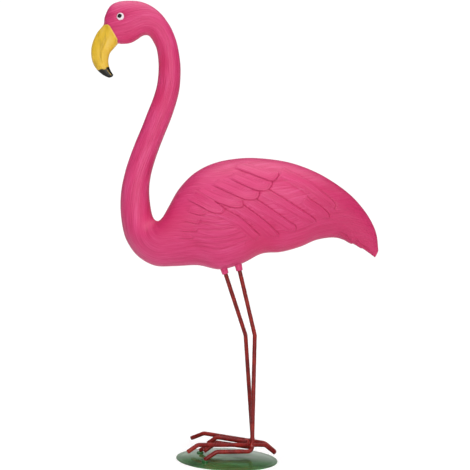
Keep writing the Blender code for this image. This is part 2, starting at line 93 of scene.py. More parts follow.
# Legs and feet: places along X, across Y outwards, and up, in millimetres
LEGS = {
    "left": {
        "sign": -1,
        "hip": (19, 7),
        "knee": (53.2, 8.5, 240.5),
        "ankle": (56.8, 26, 22.5),
        "toe_bend": (-10, 41, 22),
        "toe_tip": (-32, 49),
        "long_bend": (-45.5, 35.5),
        "long_tip": (-63.5, 60, 23.5),
        "inner_bend": (-17, 20, -0.3),
        "inner_tip": (-34, 22, -13.3),
    },
    "right": {
        "sign": 1,
        "hip": (-7.7, 0),
        "knee": (35.7, 8.5, 238.5),
        "ankle": (60, 26, 19),
        "toe_bend": (-17, 32, 25.5),
        "toe_tip": (-43.5, 30),
        "long_bend": (-37, 38.5),
        "long_tip": (-62, 60, 25.5),
        "inner_bend": (-11.5, 19, 5.7),
        "inner_tip": (-28.5, 18, -7.3),
    },
}
LONG_TOE_SPLAY = 18.5
BACK_BEND = (81.5, 32.5)
BACK_TIP = (102, 17)
BACK_TIPS_CLEARANCE = 1.2 * MM
INNER_TOE_START_X = 48
INNER_TOE_DROP = 2
ROD_END_CHAMFER = 0.7 * MM
# Unevenness of the paint on the rods, and share of it in the beads
PAINT_LUMP = 0.09 * MM
BEAD_LUMP = 0.11

# Leg sockets' outer skin: ring heights in millimetres, flare into the belly and rounded lip
SOCKET_HEIGHTS = [0, 0.3, 0.8, 2, 5, 9, 13, 17, 20, 23, 26, 30, 34]
SKIN_FLARE = 0.0022
SKIN_FLARE_START = 0.25
SOCKET_LIP = 0.5 * MM
SOCKET_LIP_HEIGHT = 0.8

# Disc: radius of its innermost ring, and slight waves. Each: height, count round it, turn, and turn for
# each metre out
DISC_MIDDLE = DISC_RADIUS / 400
DISC_WAVES = [(0.16 * MM, 2, 0.6, 0), (0.1 * MM, 5, 0, 60)]

# Bird in side view: rings from the beak's tip to the tail, in a drawing DRAWN_UNITS units long.
# Each ring: x, z of its top or back, x, z of its underside or front, half width across the bird.
BEAK_RINGS = [
    (-241, 367.5, -238.5, 371.5, 2), (-248, 366, -242.5, 377, 4),
    (-260.5, 371.8, -246.5, 384.5, 6.5), (-272.8, 382.8, -249, 394.5, 9),
    (-280, 396, -249, 404, 11), (-283, 413, -246.5, 413.5, 12.5),
    (-281, 431, -240.5, 421.5, 14), (-273, 450.5, -235.5, 428, 15.5),
]
HEAD_RINGS = [
    (-261.5, 466, -232, 432, 18.5), (-259.5, 482, -226, 431.5, 21),
    (-250.5, 502, -215, 432.5, 23.5), (-235, 511.5, -207.5, 434.5, 24.5),
    (-213, 514.5, -201, 438, 25), (-192, 513.5, -194.5, 442.5, 24.5),
    (-172, 506.5, -188.5, 447.5, 23.5), (-153.5, 493.5, -181, 450.5, 22),
    (-140, 478, -173.5, 449, 21),
]
NECK_RINGS = [
    (-129.5, 461.5, -166.5, 441, 20), (-119, 436, -158, 424.5, 19.5),
    (-112, 403.5, -153.5, 401.5, 19.5), (-110, 379, -152.5, 379, 19.5),
    (-111, 349, -154.5, 354, 19.5), (-116.5, 321, -161, 328, 19.5),
    (-125.5, 290, -170, 302.5, 20), (-135.5, 262, -179.5, 274.5, 20.5),
    (-145.5, 233, -190, 246.5, 21), (-154, 203.5, -200.5, 215, 22),
    (-159, 179.5, -208, 187, 23.5), (-160.5, 152.5, -213.8, 152, 26),
]
BODY_RINGS = [
    (-156.5, 121, -213.8, 115.5, 30), (-150, 100.5, -207.5, 77.5, 36),
    (-140, 96, -196.5, 50.5, 43), (-129.5, 106, -175, 25.3, 51),
    (-120, 126.5, -143, 9.8, 59), (-103, 159, -105, 10.5, 66),
    (-75, 190, -61, 14, 71), (-36, 211.5, -18, 8, 73.5),
    (15, 222.5, 23, 21, 73), (64, 223, 60, 41.3, 69.5),
    (110, 217, 97, 46.3, 63), (155, 202.5, 133, 57.8, 54),
    (193, 183, 164.5, 72.5, 44), (226, 160, 199.5, 78, 33.5),
    (251, 134.5, 228.5, 69.5, 24), (268.5, 109.5, 248.5, 61.5, 16),
    (278.5, 86, 263.5, 52.5, 10), (283, 57, 277, 43.5, 4.5),
]
WING_WIDENING = 0.22
# Rings from the body's start and from the tail's end where it comes in and goes
WIDENING_IN = (1, 6)
WIDENING_OUT = (6, 2)

# How closely the rings stand, in drawing units: beak, head, neck and body
RING_SPACING = {"beak": 1.3, "head": 1.6, "neck": 2.6, "body": 1.15}
SPACING_SAMPLES = 6000

# Feathers carved in the sides, in side view. Each line is the edge of one feather, with the feather on the
# right of the line's run, and each feather lies over the ones before it.
LONG_FEATHERS = [
    [(90, 205), (112, 195), (139, 182), (160, 168), (181, 152), (191, 143), (193, 137), (190, 128)],
    [(136, 154), (148, 145), (164, 136), (177, 126), (183, 117), (182, 109)],
    [(56, 167), (97, 145), (127, 128), (148, 116), (156, 110), (159, 103)],
    [(34, 149), (80, 121), (111, 102), (119, 97), (120, 84)],
    [(12, 137), (25, 128), (58, 106), (86, 83), (89, 79), (88, 73)],
    [(-26, 128), (-16, 123), (18, 106), (43, 85), (57, 74)],
]
COVERTS = [
    [(18, 140), (20, 130), (15, 126), (0, 126), (-15, 130), (-42, 139), (-76, 157)],
    [(49, 159), (48, 149), (43, 143), (30, 141), (15, 144), (-15, 156), (-48, 169)],
    [(72, 178), (71, 170), (66, 162), (57, 159), (41, 160), (12, 171), (-16, 183)],
    [(84, 196), (83, 188), (77, 180), (69, 178), (52, 183), (12, 196), (-8, 201)],
]
SHOULDER_FEATHERS = [
    [(-47, 122), (-46, 115), (-51, 110), (-60, 109), (-74, 112), (-90, 116)],
    [(-76, 158), (-45, 142), (-23, 129), (-15, 122), (-20, 114), (-37, 115), (-60, 126), (-90, 140)],
]
SHOULDER_SCALES = [
    [(-69, 69), (-71, 65), (-76, 64), (-100, 64)],
    [(-62, 84), (-64, 79), (-70, 78), (-100, 77)],
    [(-57, 101), (-60, 94), (-66, 92), (-77, 95), (-94, 97)],
]
TAIL_FEATHERS = [
    [(200, 93), (213, 85), (224, 77), (232, 71)],
    [(234, 81), (245, 70), (253, 64), (266, 54)],
]
# Shallow lines: some run back under the wing and meet, and three lie between the upper feathers
FAN_LINES = [
    [(-62, 109), (-43, 107), (-25, 105), (6, 102), (24, 97)],
    [(-60, 97), (-43, 96), (-21, 92), (8, 92), (27, 91), (42, 84), (55, 75)],
    [(-68, 83), (-39, 83), (-10, 86), (12, 88), (30, 85), (49, 77)],
    [(-75, 67), (-42, 68), (-23, 69), (4, 75), (20, 81), (36, 86)],
    [(-75, 57), (-42, 57), (-22, 58), (5, 65), (22, 70), (38, 75), (52, 76)],
    [(-76, 51), (-57, 51), (-38, 48), (-20, 47), (5, 55), (20, 62), (45, 70), (57, 74)],
    [(31, 71), (25, 52)],
    [(84, 185), (103, 176), (118, 168), (138, 158)],
    [(28, 197), (50, 191), (69, 186)],
    [(190, 144), (198, 154)],
]
# How far a feather's rise reaches from its edge, and how its edge fades in and out along the line
FEATHER_REACH = 26
SCALE_REACH = 13
LONG_EASE = (4, 7)
COVERT_EASE = (3, 26)
SHOULDER_EASE = (16, 24)
SCALE_EASE = (2, 14)
FAN_EASE = (12, 10)
TAIL_EASE = (12, 2)
LINE_SAMPLES = 5
FULL_REACH_SHARE = 0.3
RISE_CURVE = 1.5
FEATHER_LIFT = 1.7
COVERT_LIFT = 1.9
SCALE_LIFT = 1.2
TAIL_LIFT = 0.8
GROOVE_DEPTH = 0.85
GROOVE_WIDTH = 1.05
GROOVE_OFFSET = 0.7
EDGE_BLEND = 1.2
FAN_DEPTH = 0.9
FAN_WIDTH = 1.8
# Strength of the painted shade in the shallow lines
FAN_SHADE = 0.7

# Ends of the tail's feathers, as small bumps along its lower edge
TAIL_BUMP_ENDS = (230.5, 249.5)
TAIL_BUMP_RUN = 15
TAIL_BUMP_DROP = 1.5
TAIL_BUMP_BLEND = (2, 2.5)
TAIL_UNDERSIDE = (0.2, 0.7)

# Raised edge of the beak against the head, black tip, mouth line and nostril, in side view
BEAK_EDGE = [
    (-285, 466), (-259, 465), (-251, 464), (-246.5, 460.5), (-232, 438), (-233.5, 420),
]
BEAK_STEP = 1.5
BEAK_STEP_BLEND = 0.9
BEAK_STEP_FADE = 8
BLACK_TIP_LINE = [(-290, 373), (-268, 378.2), (-256, 379.5), (-249.5, 384.5), (-240, 390)]
MOUTH_LINE = [
    (-250.5, 441), (-254.6, 434.6), (-257.9, 424.9), (-261.8, 414.5), (-262.4, 402.7), (-259.5, 391),
]
MOUTH_STREAK = [(-257, 385.5), (-249.5, 379), (-242.5, 370.5)]
NOSTRIL = [(-267.6, 449), (-270.3, 440.5)]
ON_BEAK = (0.5, 2)
# Grooves on the head: width, depth and strength of the painted shade in them
BEAK_EDGE_GROOVE = (0.8, 0.25, 0.5)
BEAK_EDGE_OFFSET = 1.1
MOUTH_GROOVE = (1.3, 0.8, 0.35)
NOSTRIL_GROOVE = (1.3, 0.7, 0.5)
EYE_GROOVE = (0.9, 0.4, 0.45)
EYE_GROOVE_OFFSET = 0.7

# Painted eye
EYE_PLACE = (-227.2, 479.3)
EYE_RADIUS = 7
PUPIL_PLACE = (-228.6, 480.4)
PUPIL_RADIUS = 4.1
# Sunk ring and smooth skin round it, in its radii, the ring's depth and the ball's rise
EYE_RING = 1.9
EYE_SMOOTH = 1.7
EYE_SUNK = 0.9
EYE_BALL = 1.6

# Fine lines along the plumage
STRAND_PITCH = 3.9
STRAND_DEPTH = 0.22
# Their share of depth at the beak, and how far back that reaches
HEAD_STRANDS = 0.35
HEAD_STRANDS_RUN = 60
# Their share on the back and belly, and the facing over which the carving comes in
TOP_STRANDS = 0.25
FACING = (0.1, 0.45)
# Rings over which the carving comes in from the beak's tip and goes at the tail
END_RINGS = (12, 10)


def smoothstep(low, high, value):
    t = np.clip((value - low) / (high - low), 0, 1)
    return t * t * (3 - 2 * t)


def line_distance(x, z, line):
    """Distance to a line of points in side view, its sign, above zero on the right of its run, and
    the length run from the line's start."""
    nearest = np.full(np.shape(x), np.inf)
    side = np.ones(np.shape(x))
    travel = np.zeros(np.shape(x))
    run = 0
    for (x1, z1), (x2, z2) in zip(line, line[1:]):
        run_x, run_z = x2 - x1, z2 - z1
        length = hypot(run_x, run_z)
        share = ((x - x1) * run_x + (z - z1) * run_z) / length**2
        share = np.clip(share, 0, 1)
        distance = np.hypot(x - x1 - share * run_x, z - z1 - share * run_z)
        turn = run_z * (x - x1) - run_x * (z - z1)
        closer = distance < nearest
        side = np.where(closer, np.sign(turn), side)
        travel = np.where(closer, run + share * length, travel)
        nearest = np.where(closer, distance, nearest)
        run += length
    return nearest, side, travel


def line_length(line):
    return sum(dist(before, after) for before, after in zip(line, line[1:]))


def ease_in_and_out(ease, line, travel):
    return smoothstep(0, ease[0], travel) * smoothstep(0, ease[1], line_length(line) - travel)


def spline_at(points, at):
    """Smooth curve through the points, with the points at whole numbers of the parameter."""
    points = np.asarray(points, float)
    last = len(points) - 1
    index = np.minimum(at.astype(int), last - 1)
    t = (at - index)[:, None]
    padded = np.vstack([2 * points[0] - points[1], points, 2 * points[-1] - points[-2]])
    a, b, c, d = (padded[index + k] for k in range(4))
    bend = 2 * a - 5 * b + 4 * c - d
    twist = 3 * b - a - 3 * c + d
    return 0.5 * (2 * b + (c - a) * t + bend * t**2 + twist * t**3)


def smooth_line(points):
    """Finer line on a smooth curve through the points."""
    last = len(points) - 1
    return spline_at(points, np.linspace(0, last, last * LINE_SAMPLES + 1))


def ring_places(table, count):
    """Parameters of the rings, crowded where RING_SPACING asks for it."""
    at = np.linspace(0, len(table) - 1, SPACING_SAMPLES)
    smooth = spline_at(table, at)
    middle = (smooth[:, 0:2] + smooth[:, 2:4]) / 2
    step = np.linalg.norm(np.diff(middle, axis=0), axis=1)
    ends = np.cumsum([0, len(BEAK_RINGS), len(HEAD_RINGS), len(NECK_RINGS), len(BODY_RINGS)])
    spacing = np.interp(at[1:], ends[:-1] + np.diff(ends) / 2, list(RING_SPACING.values()))
    travelled = np.concatenate([[0], np.cumsum(step / spacing)])
    return np.interp(np.linspace(0, travelled[-1], count), travelled, at)


def bird_rings(ring_count, side_count):
    """Plain form of the bird as rings of points, in the drawing's units."""
    drawn = BEAK_RINGS + HEAD_RINGS + NECK_RINGS + BODY_RINGS
    place = ring_places(drawn, ring_count)
    smooth = spline_at(drawn, place)
    back, front, width = smooth[:, 0:2], smooth[:, 2:4], smooth[:, 4]
    across = back - front
    height = np.linalg.norm(across, axis=1)
    across /= height[:, None]
    middle = (back + front) / 2
    body_start = len(drawn) - len(BODY_RINGS)
    on_body = smoothstep(*(body_start + k for k in WIDENING_IN), place)
    on_tail = smoothstep(*(len(drawn) - k for k in WIDENING_OUT), place)
    widening = WING_WIDENING * on_body * (1 - on_tail)
    even = np.linspace(0, 2 * pi, side_count, endpoint=False)
    angle = even + SIDE_CROWDING * np.sin(2 * even)
    upward = -np.cos(angle)[None, :]
    along = upward * (height / 2)[:, None]
    ring = np.empty((ring_count, side_count, 3))
    ring[..., 0] = middle[:, None, 0] + along * across[:, None, 0]
    ring[..., 1] = np.sin(angle)[None, :] * width[:, None] * (1 + widening[:, None] * upward)
    ring[..., 2] = middle[:, None, 1] + along * across[:, None, 1]
    return ring


def outward_normals(ring):
    along = np.gradient(ring, axis=0)
    around = (np.roll(ring, -1, axis=1) - np.roll(ring, 1, axis=1)) / 2
    normal = np.cross(around, along)
    normal /= np.linalg.norm(normal, axis=2, keepdims=True) + 1e-9
    return normal * np.sign((normal[..., 1] * np.sign(ring[..., 1])).sum())


def strand_flow(ring):
    """Distance round each ring from its back, and distance along the bird, in the drawing's units."""
    around = np.linalg.norm(np.roll(ring, -1, axis=1) - ring, axis=2)
    travelled = np.cumsum(around, axis=1) - around
    half = around.sum(axis=1, keepdims=True) / 2
    from_belly = np.minimum(travelled, 2 * half - travelled)
    middle = ring.mean(axis=1)
    step = np.linalg.norm(np.diff(middle, axis=0), axis=1)
    along = np.concatenate([[0], np.cumsum(step)])
    return from_belly, np.broadcast_to(along[:, None], from_belly.shape)


def barbs(across, along):
    """Fine lines along a feather or the plumage, uneven in width and depth."""
    wander = 0.7 * np.sin(along / 17 + across / 9) + 0.4 * np.sin(along / 7.3 + across / 5)
    wave = np.sin(2 * pi * (across + 0.35 * wander) / STRAND_PITCH)
    swell = 0.65 + 0.35 * np.sin(along / 11 + 1.7 * across)
    return wave * swell


class Relief:
    """Carving over the plain form: height, the strength of the painted shade in its grooves, and barbs
    along the feathers.
    """

    def __init__(self, x, z, flow):
        self.x = x
        self.z = z
        self.height = np.zeros_like(x)
        self.line = np.zeros_like(x)
        self.across, self.along = (np.array(part) for part in flow)
        self.barbs = barbs(self.across, self.along)

    def groove(self, distance, width, depth, strength, mask=1, where=...):
        cut = np.exp(-((distance / width) ** 2)) * mask
        self.height[where] -= depth * cut
        # Painted shade in the groove, as strong as the given strength
        self.line[where] = np.maximum(self.line[where], strength * cut)

    def near(self, line, reach):
        """Which points are near a line, and their signed distance from it and run length along it."""
        low, high = line.min(axis=0) - reach, line.max(axis=0) + reach
        where = (self.x > low[0]) & (self.x < high[0]) & (self.z > low[1]) & (self.z < high[1])
        distance, side, travel = line_distance(self.x[where], self.z[where], line)
        return where, distance * side, travel

    def lay(self, edges, lift, reach, ease, strength):
        """Feathers laid over the relief so far, each over the one before, with a groove along its edge."""
        for edge in edges:
            line = smooth_line(edge)
            where, inward, travel = self.near(line, reach)
            eased = ease_in_and_out(ease, line, travel)
            cover = smoothstep(-EDGE_BLEND / 2, EDGE_BLEND / 2, inward)
            cover = cover * smoothstep(reach, FULL_REACH_SHARE * reach, inward) * eased
            rise = lift * np.clip(1 - inward / reach, 0, 1) ** RISE_CURVE
            self.height[where] = self.height[where] * (1 - cover) + rise * cover
            self.line[where] *= 1 - cover
            self.barbs[where] = self.barbs[where] * (1 - cover) + barbs(inward, travel) * cover
            self.across[where] = np.where(cover > 0.5, inward, self.across[where])
            self.along[where] = np.where(cover > 0.5, travel, self.along[where])
            self.groove(inward + GROOVE_OFFSET, GROOVE_WIDTH, GROOVE_DEPTH, strength, eased, where)

    def fan(self):
        for points in FAN_LINES:
            line = smooth_line(points)
            where, across, travel = self.near(line, 3 * FAN_WIDTH)
            eased = ease_in_and_out(FAN_EASE, line, travel)
            self.groove(across, FAN_WIDTH, FAN_DEPTH, FAN_SHADE, eased, where)

    def beak(self):
        distance, side, _ = line_distance(self.x, self.z, BEAK_EDGE)
        inside = distance * side
        step = smoothstep(-BEAK_STEP_BLEND, BEAK_STEP_BLEND, inside) - 0.5
        self.height = self.height + BEAK_STEP * step * np.exp(-distance / BEAK_STEP_FADE)
        on_beak = smoothstep(*ON_BEAK, inside)
        back = smoothstep(0, -HEAD_STRANDS_RUN, inside)
        self.barbs = self.barbs * (1 - on_beak) * (HEAD_STRANDS + (1 - HEAD_STRANDS) * back)
        self.groove(inside + BEAK_EDGE_OFFSET, *BEAK_EDGE_GROOVE)
        mouth = line_distance(self.x, self.z, MOUTH_LINE)[0]
        self.groove(mouth, *MOUTH_GROOVE, on_beak)
        nostril = line_distance(self.x, self.z, NOSTRIL)[0]
        self.groove(nostril, *NOSTRIL_GROOVE, on_beak)

    def eye(self):
        radius = np.hypot(self.x - EYE_PLACE[0], self.z - EYE_PLACE[1])
        ball = np.clip(1 - (radius / EYE_RADIUS) ** 2, 0, 1) ** 0.5
        sunk = smoothstep(EYE_RING * EYE_RADIUS, EYE_RADIUS, radius)
        self.barbs = self.barbs * smoothstep(EYE_RADIUS, EYE_SMOOTH * EYE_RADIUS, radius)
        self.height = self.height - EYE_SUNK * sunk + EYE_BALL * ball
        self.groove(radius - EYE_RADIUS - EYE_GROOVE_OFFSET, *EYE_GROOVE)

    def carve(self):
        self.fan()
        # The last number of each is the strength of the painted shade in its grooves
        self.lay(SHOULDER_SCALES, SCALE_LIFT, SCALE_REACH, SCALE_EASE, 0.7)
        self.lay(LONG_FEATHERS, FEATHER_LIFT, FEATHER_REACH, LONG_EASE, 1)
        self.lay(COVERTS, COVERT_LIFT, FEATHER_REACH, COVERT_EASE, 1)
        self.lay(SHOULDER_FEATHERS, COVERT_LIFT, FEATHER_REACH, SHOULDER_EASE, 0.8)
        self.lay(TAIL_FEATHERS, TAIL_LIFT, SCALE_REACH, TAIL_EASE, 0.8)
        self.beak()
        self.eye()
        return self


def tail_bumps(x, downward):
    """How far the tail's lower edge hangs at its feathers' ends."""
    drop = np.zeros_like(x)
    before, after = TAIL_BUMP_BLEND
    for end in TAIL_BUMP_ENDS:
        bump = smoothstep(end - TAIL_BUMP_RUN, end - before, x) * smoothstep(end + after, end, x)
        drop = np.maximum(drop, bump)
    return TAIL_BUMP_DROP * drop * smoothstep(*TAIL_UNDERSIDE, downward)


def grid_mesh(name, rings):
    """Closed skin over rings of equal count, with each end drawn to its middle."""
    count, sides = rings.shape[:2]
    points = np.vstack([rings.reshape(-1, 3), rings[0].mean(axis=0), rings[-1].mean(axis=0)])
    first, last = len(points) - 2, len(points) - 1
    near = np.arange(sides)
    far = (near + 1) % sides
    start = (np.arange(count - 1) * sides)[:, None]
    quads = np.stack([start + near, start + far, start + sides + far, start + sides + near], axis=-1)
    quads = quads.reshape(-1, 4)
    top = (count - 1) * sides
    caps = np.vstack(
        [
            np.stack([np.full(sides, first), far, near], axis=-1),
            np.stack([np.full(sides, last), top + near, top + far], axis=-1),
        ]
    )
    corner = points[quads]
    volume = np.einsum("ij,ij->i", corner[:, 0], np.cross(corner[:, 1], corner[:, 2])).sum()
    if volume < 0:
        quads = quads[:, ::-1]
        caps = caps[:, ::-1]
    mesh = bpy.data.meshes.new(name)
    mesh.vertices.add(len(points))
    mesh.vertices.foreach_set("co", points.astype(np.float32).ravel())
    mesh.loops.add(quads.size + caps.size)
    mesh.loops.foreach_set("vertex_index", np.concatenate([quads.ravel(), caps.ravel()]))
    mesh.polygons.add(len(quads) + len(caps))
    begins = np.concatenate([np.arange(len(quads)) * 4, quads.size + np.arange(len(caps)) * 3])
    mesh.polygons.foreach_set("loop_start", begins)
    mesh.update(calc_edges=True)
    mesh.validate()
    mesh.shade_smooth()
    return mesh


def add_piece(name, mesh, material, slot, *nodes):
    """Puts a mesh in the scene as a piece that rides on the body and stands for the given nodes."""
    mesh.materials.clear()
    mesh.materials.append(material)
    piece = new_object(name, mesh)
    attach(piece, BODY)
    if nodes:
        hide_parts(*nodes)


def evaluated_mesh(name, source):
    """The object's mesh with its modifiers applied, as a new mesh; the object goes."""
    graph = bpy.context.evaluated_depsgraph_get()
    mesh = bpy.data.meshes.new_from_object(source.evaluated_get(graph))
    mesh.name = name
    bpy.data.objects.remove(source)
    return mesh


def new_object(name, data):
    made = bpy.data.objects.new(name, data)
    bpy.context.scene.collection.objects.link(made)
    return made


def mesh_of(shape, name):
    """The bmesh as a new mesh; the bmesh goes."""
    mesh = bpy.data.meshes.new(name)
    shape.to_mesh(mesh)
    shape.free()
    return mesh


def vertex_places(mesh):
    places = np.empty(len(mesh.vertices) * 3, np.float32)
    mesh.vertices.foreach_get("co", places)
    return places.reshape(-1, 3).astype(float)


def set_attribute(mesh, name, values):
    kind, key = ("FLOAT_VECTOR", "vector") if values.ndim == 2 else ("FLOAT", "value")
    layer = mesh.attributes.new(name, kind, "POINT")
    layer.data.foreach_set(key, np.asarray(values, np.float32).ravel())


# Legs, as in the solids


def bird_point(x, z):
    return Vector((x * BIRD_SCALE, 0, HIP_HEIGHT + z * BIRD_SCALE))


def side_of(y_sign, x, y, z):
    return Vector((x * MM, y_sign * y * MM, z * MM))


def disc_top(radius):
    """Height of the disc's upper face at a distance from its middle."""
    share = min(radius / DOME_RADIUS, 1)
    return DISC_SHEET + DISC_RISE * (1 - share**3)


def rounded_path(corners, radii):
    """Points along straight runs with a round bend at each inner corner."""
    path = [corners[0]]
    for before, corner, after, radius in zip(corners, corners[1:], corners[2:], radii):
        arriving = (corner - before).normalized()
        leaving = (after - corner).normalized()
        turn = arriving.angle(leaving)
        inset = radius * tan(turn / 2)
        inward = (leaving - arriving).normalized()
        centre = corner + inward * (radius / cos(turn / 2))
        start = corner - arriving * inset - centre
        end = corner + leaving * inset - centre
        for k in range(BEND_STEPS + 1):
            swept = turn * k / BEND_STEPS
            spoke = (start * sin(turn - swept) + end * sin(swept)) / sin(turn)
            path.append(centre + spoke)
    path.append(corners[-1])
    return path


def leg_corners(leg):
    """Hip socket mouth, knee, ankle, toe bend and toe tip of one leg's rod."""
    sign = leg["sign"]
    hip = bird_point(*leg["hip"])
    knee = side_of(sign, *leg["knee"])
    ankle = side_of(sign, *leg["ankle"])
    toe_bend = side_of(sign, *leg["toe_bend"])
    toe_tip = side_of(sign, *leg["toe_tip"], 0)
    resting = disc_top(hypot(toe_tip.x - DISC_X, toe_tip.y)) + TOE_TIP_GAP
    for _ in range(4):
        run = (toe_tip - toe_bend).normalized()
        toe_tip.z = resting + ROD_RADIUS * sqrt(1 - run.z**2)
    return hip, knee, ankle, toe_bend, toe_tip


def leg_direction(leg):
    hip, knee = leg_corners(leg)[:2]
    return (knee - hip).normalized()


def leg_at_height(leg, height):
    _, knee, ankle, _, _ = leg_corners(leg)
    return ankle.lerp(knee, (height - ankle.z) / (knee.z - ankle.z))


def long_toe_line(leg):
    """Point beside the leg that the long toe rod runs through, and its forward direction."""
    sign = leg["sign"]
    splay = radians(LONG_TOE_SPLAY)
    forward = Vector((-cos(splay), sign * sin(splay), 0))
    inward = Vector((-sin(splay), -sign * cos(splay), 0))
    beside = leg_at_height(leg, WELD_HEIGHT) + inward * (ROD_DIAMETER + TOUCH_GAP)
    return beside, forward


def point_on_line_at_x(beside, forward, x, height):
    point = beside + forward * ((x - beside.x) / forward.x)
    point.z = height
    return point


def long_toe_bends(leg):
    """Corners of the long toe rod in front and behind."""
    beside, forward = long_toe_line(leg)
    front_x, front_height = leg["long_bend"]
    back_x, back_height = BACK_BEND
    front_bend = point_on_line_at_x(beside, forward, front_x * MM, front_height * MM)
    back_bend = point_on_line_at_x(beside, forward, back_x * MM, back_height * MM)
    return front_bend, back_bend


def inner_toe_corners(leg):
    """Start against the long toe rod and a little below it, bend and tip."""
    sign = leg["sign"]
    front_bend, back_bend = long_toe_bends(leg)
    along = (INNER_TOE_START_X * MM - front_bend.x) / (back_bend.x - front_bend.x)
    drop = INNER_TOE_DROP * MM
    splay = radians(LONG_TOE_SPLAY)
    beside = sqrt((ROD_DIAMETER + TOUCH_GAP) ** 2 - drop**2) / cos(splay)
    start = front_bend.lerp(back_bend, along) - Vector((0, sign * beside, drop))
    level = Vector((0, 0, start.z))
    return start, side_of(sign, *leg["inner_bend"]) + level, side_of(sign, *leg["inner_tip"]) + level


def leg_path(leg):
    hip, knee, ankle, toe_bend, toe_tip = leg_corners(leg)
    top = hip - leg_direction(leg) * (SOCKET_BORE_DEPTH - TOUCH_GAP)
    bends = [KNEE_BEND_RADIUS, ANKLE_BEND_RADIUS, TOE_BEND_RADIUS]
    return rounded_path([top, knee, ankle, toe_bend, toe_tip], bends)


def long_toe_path(leg):
    sign = leg["sign"]
    front_bend, back_bend = long_toe_bends(leg)
    back_x, back_height = BACK_TIP
    apart = ROD_DIAMETER + BACK_TIPS_CLEARANCE
    back_tip = Vector((back_x * MM, sign * apart / 2, back_height * MM))
    corners = [side_of(sign, *leg["long_tip"]), front_bend, back_bend, back_tip]
    return rounded_path(corners, [TOE_BEND_RADIUS, TOE_BEND_RADIUS])


def inner_toe_path(leg):
    return rounded_path(inner_toe_corners(leg), [TOE_BEND_RADIUS])


def spaced_path(path, spacing):
    """The path with its long straight runs divided."""
    spaced = [path[0]]
    for before, after in zip(path, path[1:]):
        parts = max(1, round((after - before).length / spacing))
        for k in range(1, parts + 1):
            spaced.append(before.lerp(after, k / parts))
    return spaced



# A direction that no rod runs along
ROUND_START = (0.3, 1, 0.2)


def tube_rings(path, radius_at):
    """Rings of points round a path, without twist. radius_at gives the radius for a path index."""
    places = np.array([tuple(p) for p in path])
    tangents = np.gradient(places, axis=0)
    tangents /= np.linalg.norm(tangents, axis=1, keepdims=True)
    side = np.cross(tangents[0], ROUND_START)
    side /= np.linalg.norm(side)
    angle = np.linspace(0, 2 * pi, ROD_SIDES, endpoint=False)
    rings = []
    for index, (place, tangent) in enumerate(zip(places, tangents)):
        side = side - tangent * side.dot(tangent)
        side /= np.linalg.norm(side)
        other = np.cross(tangent, side)
        spokes = np.cos(angle)[:, None] * side + np.sin(angle)[:, None] * other
        lumps = np.sin(3 * angle + 280 * place.sum()) * np.sin(310 * place.sum() + angle)
        rings.append(place + spokes * (radius_at(index) + PAINT_LUMP * lumps)[:, None])
    return np.array(rings)


def rod_mesh(name, path):
    """A painted rod with a slight chamfer at each cut end."""
    path = spaced_path(path, ROD_SPACING)
    first = path[0] + (path[1] - path[0]).normalized() * ROD_END_CHAMFER
    last = path[-1] + (path[-2] - path[-1]).normalized() * ROD_END_CHAMFER
    path = [path[0], first, *path[1:-1], last, path[-1]]
    ends = (0, len(path) - 1)
    rings = tube_rings(path, lambda k: ROD_RADIUS - (ROD_END_CHAMFER if k in ends else 0))
    return grid_mesh(name, rings)


def lumpy_blob(name, place, size, seed):
    """A small uneven bead of weld or thick paint, about `size` across in X, Y and Z."""
    shape = bmesh.new()
    bmesh.ops.create_icosphere(shape, subdivisions=4, radius=1)
    for vert in shape.verts:
        x, y, z = vert.co
        wave = sin(3.1 * x + seed) * sin(2.7 * y + 2 * seed) + sin(4.3 * z + 3 * seed)
        wave += 0.5 * sin(7.9 * x - seed) * sin(8.3 * z + seed) * sin(6.7 * y)
        lumpy = vert.co * (1 + BEAD_LUMP * wave)
        vert.co = Vector([c * across / 2 for c, across in zip(lumpy, size)]) + place
    mesh = mesh_of(shape, name)
    mesh.shade_smooth()
    return mesh


# Materials


class Nodes:
    """Short names for the nodes of one tree."""

    def __init__(self, tree):
        self.tree = tree

    def feed(self, socket, value):
        """Links a socket to another one, or sets its value."""
        if isinstance(value, bpy.types.NodeSocket):
            self.tree.links.new(value, socket)
        else:
            socket.default_value = value

    def node(self, kind, inputs, **settings):
        made = self.tree.nodes.new("ShaderNode" + kind)
        for key, value in settings.items():
            setattr(made, key, value)
        for key, value in inputs.items():
            self.feed(made.inputs[key], value)
        return made

    def mix(self, share, first, second):
        made = self.node("Mix", {0: share, 6: first, 7: second}, data_type="RGBA")
        return made.outputs[2]

    def math(self, operation, first, second):
        return self.node("Math", {0: first, 1: second}, operation=operation).outputs[0]

    def ramp(self, value, low, high, low_out=0, high_out=1, smooth=True):
        made = self.node(
            "MapRange",
            {"Value": value, "From Min": low, "From Max": high, "To Min": low_out, "To Max": high_out},
            interpolation_type="SMOOTHSTEP" if smooth else "LINEAR",
        )
        return made.outputs["Result"]

    def layered(self, colour, layers, noises):
        """The colour with others laid over it, each by a ramp of one of the noises."""
        for name, ends, other in layers:
            colour = self.mix(self.ramp(noises[name], *ends), colour, other)
        return colour

    def attribute(self, name, output="Fac"):
        return self.node("Attribute", {}, attribute_name=name).outputs[output]

    def noise(self, scale, detail=2, roughness=0.5, stretch=None, vector=None):
        place = vector or self.place()
        if stretch:
            place = self.node("Mapping", {"Vector": place, "Scale": stretch}).outputs["Vector"]
        inputs = {"Vector": place, "Scale": scale, "Detail": detail, "Roughness": roughness}
        return self.node("TexNoise", inputs).outputs["Fac"]

    def place(self):
        return self.node("TexCoord", {}).outputs["Object"]

    def along(self, vector, axis):
        return self.node("SeparateXYZ", {"Vector": vector}).outputs[axis]

    def camera_ray(self):
        return self.node("LightPath", {}).outputs["Is Camera Ray"]


